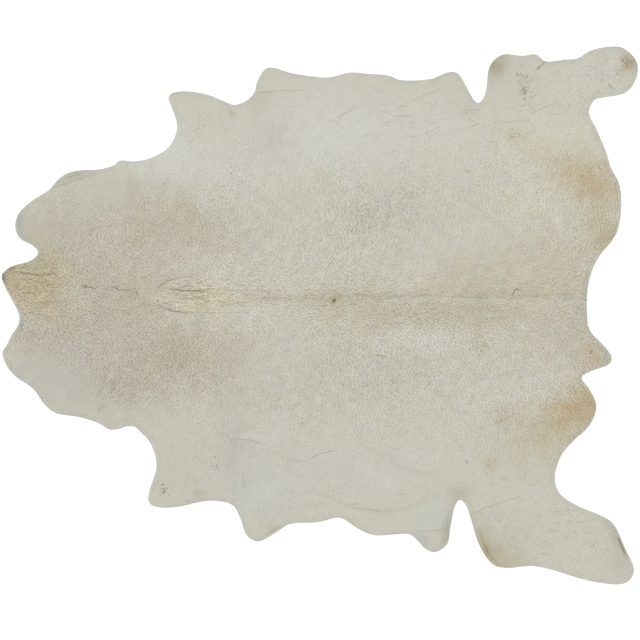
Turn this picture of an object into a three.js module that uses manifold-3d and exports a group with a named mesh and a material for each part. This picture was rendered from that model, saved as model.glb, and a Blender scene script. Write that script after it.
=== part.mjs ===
// A hair-on cowhide rug: one whole hide lying flat, hair side up, in millimetres with +Z up.
// The neck is at -X and the rump at +X. The flesh side is a flat face at z = 0, and the origin is
// the middle of the hide's box on that face.
import * as THREE from "three";
import { mergeVertices } from "three/addons/utils/BufferGeometryUtils.js";
import Module from "manifold-3d";

// Driving dimensions of the hide
const HIDE_LENGTH = 2133; // neck point to hind hoof ends
const HIDE_WIDTH = 1803; // hoof end to hoof end across the hind legs
const BACK_THICKNESS = 5.4; // skin with its flat-lying hair along the back
const EDGE_THICKNESS = 3.8; // thinner skin and shorter hair on the belly and legs
const BACK_Y = 60; // line of the spine
const THICK_BACK_REACH = 160; // from the spine to where the skin starts to thin
const THIN_BELLY_REACH = 720; // from the spine to where it is thinnest

// Fineness of the faces
const EDGE_STEPS = 4; // straight runs between two places of the cut edge
const WIDE_STEP = 40; // grid over the plain parts of the hide
const HUMP_STEP_X = 16; // closer grid over the folds of the hump
const HUMP_STEP_Y = 8;
const FOLD_STEPS = 10; // straight runs along a fold
const MARGIN = 20; // blank of skin past the cut edge, trimmed away

// Where the closer grid lies: along the hump, and across the strip of the spine
const HUMP_ALONG = { low: -580, high: -170 };
const SPINE_ACROSS = { low: -20, high: 150 };

// Cut edge, clockwise from the neck as seen from above: a row for each lobe and notch, with the
// places that its edge runs through as [along the back, across it].
const CUT_EDGE = [
  { place: "neck point", edge: [[-1061, 105], [-1067, 134], [-1038, 162], [-968, 184]] },
  { place: "upper throat notch", edge: [[-945, 211], [-968, 237], [-998, 252]] },
  { place: "upper cheek", edge: [[-1016, 273], [-1022, 302], [-1010, 342], [-963, 386], [-911, 419]] },
  { place: "upper cheek corner", edge: [[-871, 462], [-841, 479], [-797, 487], [-744, 489], [-692, 503]] },
  { place: "upper brisket", edge: [[-670, 519], [-626, 516], [-568, 528]] },
  { place: "upper armpit", edge: [[-506, 566], [-479, 631], [-499, 703]] },
  { place: "upper fore leg", edge: [[-508, 727], [-499, 744], [-456, 752], [-379, 741], [-318, 716]] },
  { place: "upper elbow notch", edge: [[-287, 706], [-243, 723], [-220, 748], [-211, 784]] },
  { place: "upper elbow lobe", edge: [[-184, 826], [-161, 832], [-104, 815], [-34, 803]] },
  { place: "upper belly", edge: [[33, 799], [100, 815], [156, 811], [233, 804], [268, 790], [374, 794]] },
  { place: "upper flank lobe", edge: [[415, 811], [439, 817], [459, 814], [476, 794], [502, 745]] },
  { place: "upper flank notch", edge: [[521, 717], [531, 713], [544, 722], [558, 760], [566, 827]] },
  { place: "upper stifle", edge: [[586, 859], [616, 876], [679, 871], [724, 876], [754, 853]] },
  { place: "upper shank", edge: [[817, 858], [861, 862], [908, 889], [971, 902]] },
  { place: "upper hoof end", edge: [[1015, 898], [1055, 863], [1066, 827], [1052, 779], [1022, 747]] },
  { place: "upper hock notch", edge: [[959, 733], [921, 724], [901, 680], [926, 626]] },
  { place: "upper rump", edge: [[961, 541], [977, 491], [1001, 446], [1010, 389]] },
  { place: "upper buttock", edge: [[999, 288], [973, 243], [940, 204]] },
  { place: "tail root", edge: [[905, 131], [894, 40], [904, -50]] },
  { place: "tail flap", edge: [[947, -97], [978, -142], [969, -164], [915, -185]] },
  { place: "tail notch", edge: [[876, -208], [902, -248]] },
  { place: "lower rump", edge: [[926, -301], [913, -354], [886, -389], [852, -419]] },
  { place: "lower hock notch", edge: [[807, -474], [787, -549], [804, -600], [864, -641]] },
  { place: "lower shank", edge: [[945, -675], [982, -700], [1025, -789]] },
  { place: "lower hoof end", edge: [[1052, -853], [1039, -889], [1012, -903], [938, -899], [864, -882]] },
  { place: "lower thigh", edge: [[777, -855], [709, -842], [626, -849]] },
  { place: "lower stifle", edge: [[581, -838], [536, -776], [505, -681]] },
  { place: "lower flank notch", edge: [[487, -635], [469, -620], [454, -636], [437, -710]] },
  { place: "lower flank lobe", edge: [[425, -770], [385, -796], [355, -786], [305, -738]] },
  { place: "lower belly", edge: [[248, -736], [181, -739], [124, -715]] },
  { place: "lower navel", edge: [[69, -681], [-7, -695], [-104, -702]] },
  { place: "lower elbow lobe", edge: [[-147, -729], [-208, -760], [-245, -741], [-267, -683]] },
  { place: "lower elbow notch", edge: [[-293, -638], [-372, -623], [-474, -643]] },
  { place: "lower fore leg", edge: [[-536, -646], [-564, -638], [-576, -620], [-571, -586]] },
  { place: "lower armpit", edge: [[-548, -506], [-566, -435], [-598, -396]] },
  { place: "lower brisket", edge: [[-630, -372], [-700, -385], [-744, -362], [-807, -342]] },
  { place: "lower cheek corner", edge: [[-888, -328], [-921, -303], [-961, -248], [-1023, -204]] },
  { place: "lower cheek", edge: [[-1055, -162], [-1065, -126], [-1050, -99], [-1033, -64]] },
  { place: "lower throat notch", edge: [[-1012, -32], [-1009, 0], [-1031, 47]] },
];

// Folds and creases of the hair side, each from one end past its bend to the other end.
// rise is its height, less than nothing for a trough, and half is half its width.
const FOLDS = [
  { place: "upper hump lip", from: [-545, 95], bend: [-446, 141], to: [-340, 118], half: 12, rise: -2.2 },
  { place: "lower hump lip", from: [-548, 40], bend: [-467, -5], to: [-320, 8], half: 12, rise: -2.2 },
  { place: "hump middle", from: [-506, 84], bend: [-444, 76], to: [-281, 85], half: 11, rise: -2.8 },
  { place: "hump hind end", from: [-325, 14], bend: [-285, 40], to: [-194, 57], half: 12, rise: -1.6 },
  { place: "upper hump roll", from: [-560, 118], bend: [-446, 172], to: [-320, 142], half: 22, rise: 1.6 },
  { place: "lower hump roll", from: [-560, 18], bend: [-467, -36], to: [-310, -18], half: 22, rise: 1.6 },
  { place: "spine line", from: [-194, 58], bend: [300, 70], to: [910, 50], half: 14, rise: -0.9 },
  { place: "nape line", from: [-800, 100], bend: [-700, 92], to: [-560, 84], half: 14, rise: -1.1 },
  { place: "neck wrinkle", from: [-1046, 144], bend: [-970, 132], to: [-880, 146], half: 16, rise: -1.2 },
  { place: "lower arm fold", from: [-290, -415], bend: [-210, -420], to: [-120, -480], half: 34, rise: 1.5 },
  { place: "lower flank fold", from: [-90, -470], bend: [60, -430], to: [210, -500], half: 36, rise: 1.4 },
  { place: "lower loin fold", from: [150, -390], bend: [220, -440], to: [330, -470], half: 34, rise: 1.2 },
  { place: "upper arm fold", from: [-330, 560], bend: [-230, 520], to: [-120, 560], half: 36, rise: 1.3 },
  { place: "upper flank fold", from: [330, 560], bend: [440, 600], to: [520, 660], half: 34, rise: 1.3 },
];

// Broad swells and hollows of the hair side: half lengths along and across the back.
const SWELLS = [
  { place: "hump", x: -385, y: 66, along: 190, across: 62, rise: 3.6 },
  { place: "whorl", x: 48, y: 50, along: 22, across: 22, rise: -1.4 },
  { place: "upper shoulder", x: -420, y: 300, along: 260, across: 130, rise: 1.0 },
  { place: "lower shoulder", x: -420, y: -180, along: 260, across: 130, rise: 1.0 },
  { place: "rump", x: 720, y: 60, along: 170, across: 240, rise: 0.9 },
];

const HAIR_COLOUR = 0xc4c1b2;
const HAIR_ROUGHNESS = 0.85;

// The cut edge as a closed smooth line, fitted to the hide's length and width about the origin.
function cutEdge() {
  const places = CUT_EDGE.flatMap((row) => row.edge);
  const stations = places.map(([x, y]) => new THREE.Vector3(x, y, 0));
  const line = new THREE.CatmullRomCurve3(stations, true, "centripetal");
  const points = line.getPoints(stations.length * EDGE_STEPS);
  points.pop(); // the first point again
  const box = new THREE.Box3().setFromPoints(points);
  const middle = box.getCenter(new THREE.Vector3());
  const size = box.getSize(new THREE.Vector3());
  return points.map(
    (p) =>
      new THREE.Vector2(
        ((p.x - middle.x) * HIDE_LENGTH) / size.x,
        ((p.y - middle.y) * HIDE_WIDTH) / size.y,
      ),
  );
}

// A fold's line as the straight runs along its bend.
function foldLine(fold) {
  const ends = [fold.from, fold.bend, fold.to].map(([x, y]) => new THREE.Vector2(x, y));
  return new THREE.QuadraticBezierCurve(...ends).getPoints(FOLD_STEPS);
}

const FOLD_LINES = FOLDS.map(foldLine);

function distanceToRun(point, start, end) {
  const run = end.clone().sub(start);
  const offset = point.clone().sub(start);
  const share = THREE.MathUtils.clamp(offset.dot(run) / run.lengthSq(), 0, 1);
  return offset.distanceTo(run.multiplyScalar(share));
}

function distanceToLine(point, line) {
  const runs = line.slice(1).map((end, i) => distanceToRun(point, line[i], end));
  return Math.min(...runs);
}

function bell(share) {
  return Math.exp(-share * share);
}

// Height of the hair side above the flesh side.
function hairHeight(x, y) {
  const point = new THREE.Vector2(x, y);
  const thinning = THREE.MathUtils.smoothstep(Math.abs(y - BACK_Y), THICK_BACK_REACH, THIN_BELLY_REACH);
  let height = THREE.MathUtils.lerp(BACK_THICKNESS, EDGE_THICKNESS, thinning);
  for (const swell of SWELLS) {
    const share = Math.hypot((x - swell.x) / swell.along, (y - swell.y) / swell.across);
    height += swell.rise * bell(share);
  }
  FOLDS.forEach((fold, i) => {
    height += fold.rise * bell(distanceToLine(point, FOLD_LINES[i]) / fold.half);
  });
  return height;
}

// Grid lines from one end to the other, closer together in the stretch that needs it.
function gridLines(length, stretch, closeStep) {
  const end = length / 2 + MARGIN;
  const stops = [-end, stretch.low, stretch.high, end];
  const steps = [WIDE_STEP, closeStep, WIDE_STEP];
  const lines = [-end];
  steps.forEach((step, i) => {
    const span = stops[i + 1] - stops[i];
    const count = Math.ceil(span / step);
    for (let n = 1; n <= count; n += 1) lines.push(stops[i] + (span * n) / count);
  });
  return lines;
}

function asSolid(wasm, geometry) {
  geometry.deleteAttribute("normal");
  geometry.deleteAttribute("uv");
  const merged = mergeVertices(geometry);
  const vertProperties = merged.attributes.position.array;
  const triVerts = new Uint32Array(merged.index.array);
  return new wasm.Manifold(new wasm.Mesh({ numProp: 3, vertProperties, triVerts }));
}

// The uncut skin: a block whose upper face has the height of the hair side at every grid point.
function uncutSkin() {
  const alongLines = gridLines(HIDE_LENGTH, HUMP_ALONG, HUMP_STEP_X);
  const acrossLines = gridLines(HIDE_WIDTH, SPINE_ACROSS, HUMP_STEP_Y);
  const cells = [alongLines.length - 1, acrossLines.length - 1];
  const skin = new THREE.BoxGeometry(cells[0], cells[1], 2 * MARGIN, cells[0], cells[1], 1);
  const position = skin.attributes.position;
  for (let i = 0; i < position.count; i += 1) {
    const x = alongLines[Math.round(position.getX(i) + cells[0] / 2)];
    const y = acrossLines[Math.round(position.getY(i) + cells[1] / 2)];
    const z = position.getZ(i) > 0 ? hairHeight(x, y) : -MARGIN;
    position.setXYZ(i, x, y, z);
  }
  return skin;
}

// The hide: the uncut skin trimmed straight down along the cut edge, flat at the flesh side.
async function makeHide() {
  const wasm = await Module();
  wasm.setup();
  const outline = new THREE.Shape(cutEdge());
  const cutter = new THREE.ExtrudeGeometry(outline, { depth: MARGIN, bevelEnabled: false });
  const trimmed = asSolid(wasm, uncutSkin()).intersect(asSolid(wasm, cutter));
  const { vertProperties, triVerts } = trimmed.getMesh();
  const geometry = new THREE.BufferGeometry();
  geometry.setAttribute("position", new THREE.BufferAttribute(vertProperties, 3));
  geometry.setIndex(new THREE.BufferAttribute(triVerts, 1));
  geometry.computeVertexNormals();
  const finish = { color: HAIR_COLOUR, roughness: HAIR_ROUGHNESS, metalness: 0 };
  const material = new THREE.MeshStandardMaterial(finish);
  const mesh = new THREE.Mesh(geometry, material);
  mesh.name = "hide";
  return mesh;
}

const rug = new THREE.Group();
rug.add(await makeHide());

export default rug;
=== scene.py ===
import functools
import math
from collections import namedtuple

import bpy
import numpy as np
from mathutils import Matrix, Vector
from mathutils.bvhtree import BVHTree
from mathutils.geometry import delaunay_2d_cdt


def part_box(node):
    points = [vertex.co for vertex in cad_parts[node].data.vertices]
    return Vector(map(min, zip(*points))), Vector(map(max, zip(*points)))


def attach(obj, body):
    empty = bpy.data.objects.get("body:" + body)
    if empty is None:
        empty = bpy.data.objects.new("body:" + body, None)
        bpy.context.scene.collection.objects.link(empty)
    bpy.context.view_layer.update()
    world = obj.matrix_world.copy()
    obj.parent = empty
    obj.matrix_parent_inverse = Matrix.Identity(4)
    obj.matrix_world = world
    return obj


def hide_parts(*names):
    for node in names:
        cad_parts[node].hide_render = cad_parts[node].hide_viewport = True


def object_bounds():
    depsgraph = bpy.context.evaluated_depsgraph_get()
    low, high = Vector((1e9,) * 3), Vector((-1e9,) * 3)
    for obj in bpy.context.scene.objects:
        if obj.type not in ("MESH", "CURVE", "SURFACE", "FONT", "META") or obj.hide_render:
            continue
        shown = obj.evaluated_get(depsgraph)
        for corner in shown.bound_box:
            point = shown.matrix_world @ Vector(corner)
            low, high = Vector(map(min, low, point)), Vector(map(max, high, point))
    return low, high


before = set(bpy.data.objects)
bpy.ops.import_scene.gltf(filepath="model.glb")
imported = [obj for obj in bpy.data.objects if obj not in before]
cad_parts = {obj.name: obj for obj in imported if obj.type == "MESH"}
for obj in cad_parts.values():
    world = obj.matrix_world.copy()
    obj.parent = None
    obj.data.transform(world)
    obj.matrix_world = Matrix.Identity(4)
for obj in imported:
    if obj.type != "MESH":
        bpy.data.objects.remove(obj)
CAD_LOW, CAD_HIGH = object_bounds()
HIDE_LOW, HIDE_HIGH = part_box("hide")

bl_info = {
    "name": "Cowhide rug",
    "version": (1, 0, 0),
    "blender": (4, 5, 0),
    "location": "3D View > Sidebar > Cowhide",
    "description": "Lays a hair-on cowhide rug over its packed solid, with creases, coat and stage",
    "category": "Object",
}

BAKE_MAP = "OFBake"
COAT_COLOUR = "coat"
DOWN = Vector((0, 0, -1))

# The line of the back, which the coat parts along.
BACK_Y = 0.060

# The tables give lengths in millimetres, half widths and depths in tenths of one, turns and headings in
# degrees, shares in hundredths and casts of colour in thousandths.
# This many of each make a metre or a whole.
PARTS = {
    1000: "x y along across length reach line red green blue",
    10000: "half depth",
    100: "share shorter",
}
PARTS_OF = {column: parts for parts, columns in PARTS.items() for column in columns.split()}


def measured(column, value):
    """A table's value in metres or as a share of one, or as it is where its column has no unit."""
    return np.divide(value, PARTS_OF[column]) if column in PARTS_OF else value


def read_table(kind, rows):
    """The rows of a table, by the names of its columns."""
    named = (kind(*row)._asdict().items() for row in rows)
    return tuple(kind(*(measured(column, value) for column, value in row)) for row in named)


# Soft ovals of colour in the coat. Later rows lie over earlier ones.
# The rows at rims, at the lower belly corner, at the lower shank edge and on the flap at the cheek are
# painted shade where the skin curls away from the light.
Zone = namedtuple("Zone", "place x y along across turn tint share")
ZONES = read_table(Zone, (
    ("neck and cheeks", -810, 50, 250, 270, 0, "front_grey", 90),
    ("lower cheek", -860, -215, 150, 100, 0, "cheek_grey", 80),
    ("lower cheek, front", -970, -95, 50, 45, 0, "shoulder", 80),
    ("lower brisket", -680, -252, 95, 62, 0, "lilac_grey", 85),
    ("lower brisket, hind", -580, -230, 70, 55, 0, "shoulder", 65),
    ("upper cheek", -810, 410, 120, 70, 0, "pale_grey", 70),
    ("upper cheek, inner side", -900, 280, 130, 80, 0, "shoulder", 62),
    ("shoulders", -569, 85, 300, 360, 0, "shoulder", 90),
    ("nape", -703, 219, 70, 55, 0, "pink_grey", 40),
    ("nape, middle", -610, 55, 100, 85, 0, "shoulder_brown", 60),
    ("upper brisket", -600, 505, 90, 40, 0, "pale", 65),
    ("shoulder fold", -602, 310, 32, 130, 0, "shoulder_brown", 38),
    ("upper shoulder", -451, 290, 130, 90, -20, "shoulder_brown", 52),
    ("upper shoulder edge", -502, 370, 80, 50, 0, "back_olive", 45),
    ("upper shoulder, hind", -240, 215, 50, 50, 0, "shoulder", 55),
    ("lower shoulder", -470, -130, 200, 100, 10, "shoulder_brown", 66),
    ("lower shoulder, hind", -285, -200, 90, 110, 0, "shoulder", 60),
    ("round the hump", -350, 85, 160, 125, 0, "cream", 72),
    ("behind the hump", -170, 60, 110, 120, 0, "pale", 18),
    ("neck", -960, 105, 125, 112, 0, "neck_olive", 95),
    ("neck, upper side", -935, 182, 75, 34, 0, "olive", 85),
    ("neck middle", -918, 112, 55, 35, 0, "tan", 35),
    ("neck, lower side", -925, 48, 50, 28, 0, "deep_tan", 24),
    ("neck end", -1040, 130, 40, 60, 0, "deep_tan", 42),
    ("neck end rim", -1064, 136, 10, 30, 0, "crease", 50),
    ("nape, pale", -810, 79, 50, 35, 0, "pale_grey", 30),
    ("flap at the cheek", -825, 469, 62, 18, 17, "flap_grey", 45),
    ("upper cheek rim", -1008, 315, 16, 45, 0, "rim_grey", 70),
    ("lower cheek rim", -1004, -25, 12, 30, 0, "rim_grey", 70),
    ("upper arm", -490, 550, 100, 90, 0, "pale", 85),
    ("upper side", -320, 470, 130, 70, 0, "pale", 50),
    ("upper belly", 30, 600, 280, 150, 0, "pale", 72),
    ("upper belly, hind", 420, 610, 120, 100, 0, "pale", 40),
    ("lower middle", -100, -210, 150, 100, 0, "flank_grey", 90),
    ("upper arm shade", -160, 595, 75, 70, 0, "lilac_grey", 35),
    ("upper elbow", -205, 722, 35, 35, 0, "olive", 40),
    ("upper elbow smudge", -297, 678, 18, 8, -60, "olive", 75),
    ("lower arm", -175, -565, 170, 150, 0, "pale_grey", 80),
    ("lower arm shade", -290, -435, 60, 110, 0, "lilac_grey", 85),
    ("lower fore leg", -450, -540, 90, 80, 0, "flank_grey", 90),
    ("lower fore leg edge", -414, -601, 22, 20, 0, "olive", 62),
    ("lower elbow", -157, -719, 22, 20, 0, "olive", 45),
    ("upper flank", 235, 347, 230, 130, 0, "flank_grey", 45),
    ("upper flank shade", 286, 313, 140, 60, 0, "shoulder", 14),
    ("upper flank, hind", 570, 347, 60, 50, 0, "pink_grey", 28),
    ("lower flank", 219, -209, 250, 120, 0, "flank_grey", 70),
    ("lower belly", 100, -500, 330, 130, 0, "belly_grey", 80),
    ("back, front half", 101, 55, 200, 35, 0, "back_olive", 52),
    ("back, hind half", 403, 52, 350, 50, 0, "back_olive", 32),
    ("back, lower side", 302, 0, 280, 42, 0, "back_olive", 78),
    ("back, pale side", 330, -85, 140, 34, 0, "pale", 55),
    ("loin", 520, 90, 150, 95, 0, "loin_tan", 68),
    ("loin, lower side", 560, -2, 170, 45, 0, "shoulder_brown", 36),
    ("loin, specks", 545, -106, 30, 26, 0, "olive", 45),
    ("back, rump line", 640, 72, 100, 16, 0, "shoulder_brown", 70),
    ("back, behind the hump", -160, 62, 110, 20, 0, "olive", 40),
    ("whorl, round it", 110, 20, 150, 110, 0, "back_olive", 40),
    ("whorl", 49, 51, 30, 16, 0, "olive", 60),
    ("hump", -400, 60, 110, 45, 0, "hump_yellow", 80),
    ("hump, front", -480, 55, 45, 28, 0, "cream", 35),
    ("rump, upper half", 775, 200, 190, 140, 0, "rump", 85),
    ("rump, middle", 770, 90, 200, 60, 0, "back_olive", 95),
    ("rump, lower half", 740, -60, 190, 120, 0, "rump", 65),
    ("upper thigh", 765, 595, 170, 120, 0, "thigh_cream", 80),
    ("upper thigh spot", 651, 605, 35, 25, 0, "tan", 30),
    ("upper rump patch", 890, 463, 112, 66, -24, "tan", 80),
    ("upper rump trail", 745, 540, 85, 36, -34, "tan", 18),
    ("upper rump patch middle", 912, 420, 50, 35, -24, "deep_tan", 32),
    ("rump edge", 960, 258, 40, 60, 0, "olive", 88),
    ("upper rump, pale", 690, 375, 150, 75, -10, "thigh_cream", 50),
    ("rump side", 935, 330, 55, 110, 0, "tan", 40),
    ("lower rump halo", 740, -400, 150, 100, 20, "olive", 52),
    ("lower rump patch", 860, -308, 130, 64, 40, "tan", 95),
    ("lower rump patch middle", 885, -322, 60, 40, 37, "deep_tan", 30),
    ("lower loin spot", 621, -340, 45, 40, 0, "tan", 30),
    ("lower thigh spot", 574, -498, 30, 26, 0, "tan", 40),
    ("tail root", 870, -50, 100, 120, 0, "shoulder", 72),
    ("tail flap", 918, -132, 48, 45, 0, "tan", 62),
    ("tail flap rim", 959, -132, 12, 30, 0, "rim_grey", 40),
    ("upper hoof end", 1034, 845, 26, 30, 0, "hoof_brown", 68),
    ("upper shank", 900, 800, 120, 60, 10, "pale", 35),
    ("upper stifle edge", 582, 850, 44, 56, 0, "crease_olive", 52),
    ("upper belly notch", 500, 690, 35, 30, 0, "flank_grey", 70),
    ("upper shank scars", 680, 779, 25, 40, 0, "lilac_grey", 45),
    ("lower belly corner", 343, -752, 20, 30, 40, "rim_grey", 55),
    ("lower belly notch", 460, -595, 45, 30, 0, "shoulder", 85),
    ("lower belly end", 370, -680, 90, 60, -10, "pale_grey", 80),
    ("lower belly end rim", 424, -725, 20, 70, -10, "flap_grey", 55),
    ("lower stifle shade", 620, -755, 110, 85, 0, "flap_grey", 20),
    ("lower stifle", 612, -818, 75, 42, 0, "olive", 74),
    ("lower stifle edge", 555, -775, 34, 80, 24, "olive", 90),
    ("lower stifle corner", 560, -786, 14, 22, 0, "crease_olive", 40),
    ("lower shank end", 1005, -815, 40, 60, 0, "shoulder", 55),
    ("lower shank edge", 988, -735, 22, 80, 27, "flap_grey", 36),
))

# Creases, folds and scars: half width of the line, its depth, which is below zero for a ridge, its tint,
# how much of that shows and the places it runs through. The dark tint of a crease or fold is partly its
# darker hair and partly painted shade in its trough. The wide grey bands beside folds are painted shade,
# and the rows with a depth below zero are painted highlights on ridges and lips.
Crease = namedtuple("Crease", "place half depth tint share line")
CREASES = read_table(Crease, (
    ("hump, upper lip, front", 17, 20, "crease", 72,
     ((-546, 91), (-530, 102), (-507, 116), (-479, 125), (-465, 128))),
    ("hump, upper lip, hind", 22, 12, "crease_olive", 32,
     ((-465, 128), (-435, 130), (-407, 122), (-396, 113))),
    ("hump, upper lip, end", 20, 4, "crease_olive", 14, ((-396, 113), (-368, 125), (-351, 130))),
    ("hump, middle", 21, 22, "crease_olive", 85,
     ((-502, 88), (-468, 85), (-435, 83), (-396, 84), (-368, 91))),
    ("hump, line to the back", 20, 3, "crease_olive", 14, ((-368, 91), (-312, 85), (-234, 83), (-133, 83))),
    ("hump, lower line to the back", 20, 3, "crease_olive", 15, ((-190, 63), (-133, 55))),
    ("hump, lower lip, front", 17, 20, "crease", 66,
     ((-549, 38), (-524, 27), (-491, 16), (-457, 10), (-441, 9))),
    ("hump, lower lip, hind", 22, 3, "crease_olive", 16, ((-441, 9), (-384, 9), (-295, 9))),
    ("hump, hind end", 22, 6, "crease_olive", 15, ((-312, 33), (-278, 41), (-239, 46), (-211, 55))),
    ("hump, front wrinkle", 18, 6, "crease", 25, ((-504, 60), (-499, 49), (-493, 33))),
    ("hump, inner wrinkle", 18, 6, "crease_olive", 22, ((-429, 66), (-396, 56), (-373, 49), (-357, 40))),
    ("nape, front", 24, 10, "crease", 55, ((-798, 105), (-789, 97), (-767, 94), (-750, 88))),
    ("nape, hind", 24, 10, "crease", 48, ((-692, 97), (-678, 88), (-658, 85), (-630, 85))),
    ("nape, mark", 20, 6, "crease", 61, ((-613, 80), (-611, 69))),
    ("neck, long wrinkle", 22, 8, "crease", 26, ((-1038, 152), (-987, 143), (-946, 140), (-887, 142))),
    # Painted highlight on the ridge beside the neck's long wrinkle.
    ("neck, pale wrinkle", 20, -4, "hump_yellow", 60,
     ((-1030, 145), (-985, 139), (-946, 136), (-890, 138))),
    ("neck, second wrinkle", 20, 8, "crease", 28, ((-1009, 143), (-971, 137), (-934, 132))),
    ("neck, lower wrinkle", 20, 8, "crease_olive", 22, ((-946, 44), (-904, 45), (-853, 49))),
    ("back, behind the hump", 16, 4, "crease_olive", 24, ((-167, 59), (-66, 57), (34, 54))),
    ("back, middle", 16, 3, "crease", 12, ((61, 65), (101, 71), (175, 65), (269, 62))),
    ("back, loin", 20, 3, "crease", 14, ((269, 66), (403, 66), (480, 61), (570, 60), (620, 63))),
    ("back, rump", 65, 4, "crease", 15, ((600, 66), (680, 66), (740, 68), (800, 70), (880, 72))),
    # Painted highlight on the lip beside the line of the back.
    ("back, pale band", 70, -1, "pale", 30,
     ((170, 48), (330, 49), (470, 51), (640, 47), (796, 41), (890, 41))),
    ("whorl, halo", 75, 6, "crease_olive", 40, ((42, 50), (49, 51), (57, 52))),
    ("whorl", 38, 14, "whorl_dark", 100, ((49, 47), (49, 53))),
    ("loin scar", 16, 6, "crease", 90, ((645, 66), (656, 86), (674, 84))),
    ("flap at the cheek", 22, 16, "crease", 14, ((-900, 430), (-837, 447), (-790, 464), (-750, 479))),
    # Painted highlight on the lip of the turned flap.
    ("flap at the cheek, lip", 20, -6, "pale", 45, ((-893, 424), (-835, 441), (-788, 458), (-750, 473))),
    ("upper brisket", 40, 8, "shoulder_brown", 36,
     ((-649, 518), (-636, 474), (-632, 444), (-629, 417), (-605, 374))),
    ("lower brisket, front", 60, 6, "flap_grey", 35, ((-709, -190), (-722, -223), (-740, -260))),
    ("lower brisket, hind", 60, 6, "flap_grey", 35, ((-612, -210), (-642, -250), (-680, -294))),
    ("upper elbow fold, front", 15, 7, "crease", 42, ((-206, 745), (-180, 749), (-152, 752))),
    ("upper elbow fold, hind", 14, 4, "crease", 12, ((-152, 752), (-110, 755), (-53, 754))),
    ("upper belly scratch", 18, 3, "crease", 30, ((59, 661), (88, 680), (121, 699))),
    ("upper belly, front scratch", 18, 2, "crease", 16, ((192, 742), (222, 762))),
    ("upper belly, long wrinkle", 14, 3, "crease", 14, ((306, 722), (359, 742), (393, 755), (421, 774))),
    ("upper belly, short wrinkle", 18, 3, "crease", 12, ((259, 695), (292, 705))),
    ("upper flank, bent wrinkle, top", 15, 3, "crease", 22, ((492, 682), (502, 689), (537, 691))),
    ("upper flank, bent wrinkle", 15, 3, "crease", 22,
     ((492, 682), (495, 664), (512, 652), (527, 641), (493, 632))),
    ("upper flank, dent", 18, 3, "crease", 10, ((353, 655), (392, 641))),
    # Painted highlight on the flank's ridge, with a dark line at its foot.
    ("upper flank, ridge", 22, -6, "pale", 60, ((350, 612), (380, 622), (403, 634))),
    ("upper flank, ridge foot", 20, 3, "crease", 8, ((344, 605), (376, 615))),
    ("upper thigh", 14, 2, "crease", 7, ((550, 637), (597, 645), (660, 650))),
    ("upper thigh wrinkle", 14, 2, "crease", 20, ((704, 675), (738, 692), (771, 705))),
    ("upper shank edge", 18, 6, "crease", 60, ((724, 824), (740, 836), (757, 856))),
    ("lower stifle, front", 16, 7, "crease", 30, ((512, -665), (550, -648), (595, -631))),
    ("lower stifle, hind", 15, 5, "crease", 12, ((595, -631), (635, -619), (671, -610))),
    # Soft folds of arm and belly: painted highlights on their lips and ridges, painted shade in bands
    # beside them.
    ("lower arm fold", 18, 4, "crease", 18, ((-276, -414), (-224, -420), (-183, -437))),
    ("lower arm fold, lip", 90, -4, "pale", 30, ((-270, -403), (-222, -406), (-170, -414), (-115, -417))),
    ("lower arm ridge", 200, -4, "pale", 24, ((-240, -630), (-173, -598), (-108, -556))),
    ("lower arm fold, hind", 55, 4, "flap_grey", 22,
     ((-176, -443), (-115, -480), (-62, -488), (-20, -474))),
    ("lower flank fold", 18, 6, "crease", 22, ((-24, -474), (8, -462), (58, -452))),
    ("lower loin fold", 100, 4, "flap_grey", 23,
     ((112, -400), (158, -444), (225, -477), (269, -507), (346, -527), (410, -542))),
    ("lower belly hem", 95, 5, "flap_grey", 27,
     ((60, -630), (158, -652), (245, -655), (326, -635), (400, -604))),
    ("lower belly dent", 60, 3, "flap_grey", 20, ((-30, -592), (10, -602), (50, -612))),
    ("lower belly line", 20, 3, "crease", 8, ((91, -643), (145, -648), (202, -655), (242, -652))),
    ("lower belly edge", 16, 4, "crease", 22, ((329, -722), (379, -722), (426, -715))),
    ("lower flank scar", 16, 6, "crease", 70, ((185, -132), (222, -139))),
    ("lower loin scar", 16, 6, "crease", 75, ((489, -486), (497, -497))),
    ("upper loin scar", 16, 6, "crease", 55, ((490, 487), (500, 480))),
    # Painted highlights on the ridges of belly and loin.
    ("lower belly fold", 190, -5, "pale", 42, ((130, -486), (200, -540), (290, -598))),
    ("lower loin ridge", 280, -3, "pale", 28, ((280, -436), (340, -474), (400, -500))),
    ("upper loin streak", 60, 3, "crease_olive", 12, ((400, 159), (470, 166), (548, 169))),
    ("lower loin streak", 60, 3, "crease_olive", 12, ((436, 35), (520, 22), (604, 15), (721, -8))),
    ("lower rump streak", 70, 3, "flap_grey", 22, ((513, -226), (604, -203), (714, -173))),
    # Thin dark lines at rims: painted shade where the cut edge turns down.
    ("neck end, rim", 24, 4, "crease", 75, ((-1057, 112), (-1063, 136), (-1054, 152), (-1025, 160))),
    ("lower shank end, rim", 30, 4, "crease", 70, ((998, -742), (1008, -765), (1022, -798))),
    ("lower stifle, rim", 40, 4, "crease_olive", 40, ((533, -720), (549, -765), (572, -808), (602, -836))),
    ("lower elbow, rim", 26, 4, "crease", 12, ((-190, -738), (-160, -722), (-128, -704))),
    ("lower belly, rim", 26, 4, "crease", 16, ((86, -684), (114, -706), (145, -730))),
    ("lower fore leg scar", 26, 6, "crease", 60, ((-526, -578), (-519, -587))),
    ("tail flap scar", 26, 6, "crease_olive", 60, ((908, -116), (911, -128))),
))
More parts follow.
